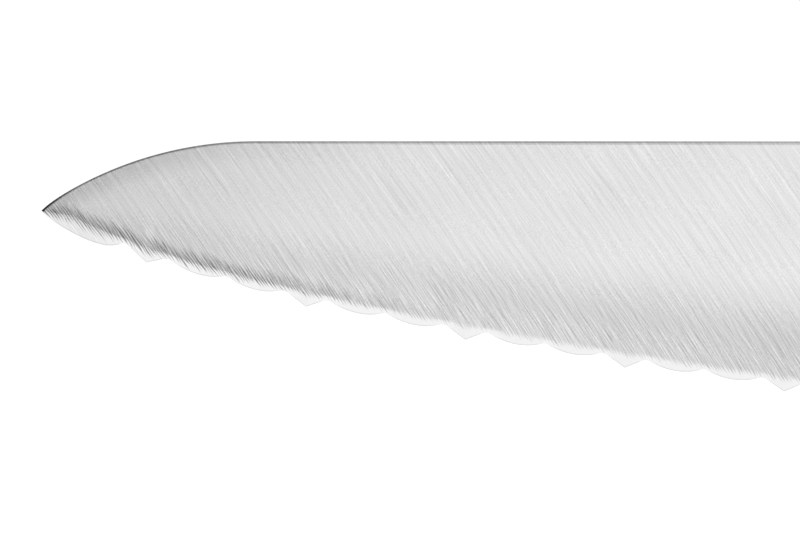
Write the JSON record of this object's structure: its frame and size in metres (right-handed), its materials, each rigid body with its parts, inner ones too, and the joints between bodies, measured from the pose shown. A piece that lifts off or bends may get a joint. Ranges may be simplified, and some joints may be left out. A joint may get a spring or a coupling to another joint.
{
  "type": "serrated chef knife",
  "caption": "Serrated chef knife: tapered steel blade with pointed teeth and rounded lobes along its edge, forged half bolster, full tang and black riveted handle scales.",
  "frame": {"origin": "under the middle of the knife, level with the lowest point of its edge", "axes": "+X from the point of the blade to the butt of the handle, +Y to the right side of the blade, +Z from the edge up to the spine"},
  "size_m": [0.332, 0.018, 0.0467],
  "materials": {
    "blade_steel": "belt-ground at a slant on the blade, satin on bolster and tang",
    "scale_plastic": "moulded, fine satin",
    "rivet_steel": "ground flush and polished"
  },
  "bodies": {
    "root": {"blade": "blade_steel", "scale_left": "scale_plastic", "scale_right": "scale_plastic", "rivet_front_pin": "rivet_steel", "rivet_front_sleeve": "rivet_steel", "rivet_middle_pin": "rivet_steel", "rivet_middle_sleeve": "rivet_steel", "rivet_rear_pin": "rivet_steel", "rivet_rear_sleeve": "rivet_steel"}
  },
  "joints": []
}
